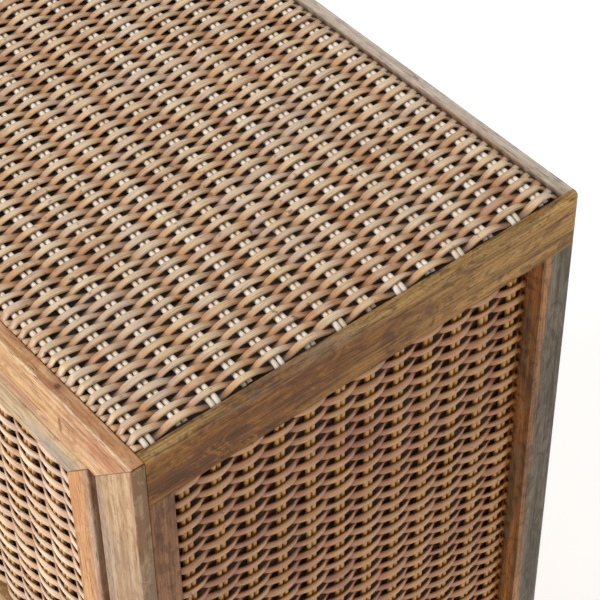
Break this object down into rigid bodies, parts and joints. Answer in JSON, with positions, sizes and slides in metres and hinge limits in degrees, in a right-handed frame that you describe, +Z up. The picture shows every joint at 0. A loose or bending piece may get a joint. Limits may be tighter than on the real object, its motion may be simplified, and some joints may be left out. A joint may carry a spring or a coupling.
{
  "type": "side table with drawer",
  "caption": "Small mango wood side table with woven rattan panels, a drawer on side runners above an open shelf bay, and short tapered feet.",
  "frame": {"origin": "on the floor, under the middle of the table's bounding box, the knob included", "axes": "+Z up, the drawer front faces -Y, +X to the right when looking at the front along +Y"},
  "size_m": [0.5, 0.3746, 0.604],
  "materials": {
    "honey_wood": "satin waxed mango wood, honey with reddish and grey streaks",
    "shade_wood": "satin waxed mango wood, golden brown turning grey-brown",
    "inner_wood": "plain sanded board",
    "black_board": "board stained black behind the weave",
    "rattan": "natural peeled rattan, semi-gloss skin",
    "steel": "zinc plated",
    "brass": "antique brushed"
  },
  "bodies": {
    "cabinet": {"front_top_rail": "honey_wood", "front_bottom_rail": "honey_wood", "front_post_left": "honey_wood", "front_post_right": "honey_wood", "front_divider_rail": "honey_wood", "back_top_rail": "honey_wood", "back_bottom_rail": "honey_wood", "side_left_top_rail": "shade_wood", "side_left_bottom_rail": "shade_wood", "side_left_front_stile": "shade_wood", "side_left_rear_stile": "shade_wood", "side_right_top_rail": "shade_wood", "side_right_bottom_rail": "shade_wood", "side_right_front_stile": "shade_wood", "side_right_rear_stile": "shade_wood", "shelf_cleat_left": "shade_wood", "shelf_cleat_right": "shade_wood", "runner_bearer_left": "shade_wood", "runner_bearer_right": "shade_wood", "foot_front_left": "shade_wood", "foot_rear_left": "shade_wood", "foot_front_right": "shade_wood", "foot_rear_right": "shade_wood", "back_panel": "inner_wood", "top_front_batten": "inner_wood", "bottom_board": "inner_wood", "shelf_board": "inner_wood", "corner_block_front_left": "inner_wood", "corner_block_rear_left": "inner_wood", "corner_block_front_right": "inner_wood", "corner_block_rear_right": "inner_wood", "top_board": "black_board", "side_left_backing": "black_board", "side_right_backing": "black_board", "top_weave": "rattan", "side_left_weave": "rattan", "side_right_weave": "rattan", "runner_channel_left": "steel", "runner_channel_right": "steel", "foot_bolt_front_left": "steel", "foot_bolt_rear_left": "steel", "foot_bolt_front_right": "steel", "foot_bolt_rear_right": "steel"},
    "drawer": {"drawer_front_top_rail": "honey_wood", "drawer_front_bottom_rail": "honey_wood", "drawer_front_stile_left": "honey_wood", "drawer_front_stile_right": "honey_wood", "drawer_box_front": "inner_wood", "drawer_side_left": "inner_wood", "drawer_side_right": "inner_wood", "drawer_box_back": "inner_wood", "drawer_bottom": "inner_wood", "drawer_front_panel": "black_board", "drawer_front_weave": "rattan", "runner_slide_left": "steel", "runner_slide_right": "steel", "knob_screw": "steel", "knob": "brass"}
  },
  "joints": [
    {"name": "drawer_slide", "type": "slide", "parent": "cabinet", "child": "drawer", "axis": [0, -1, 0], "range_m": [0, 0.19]}
  ]
}
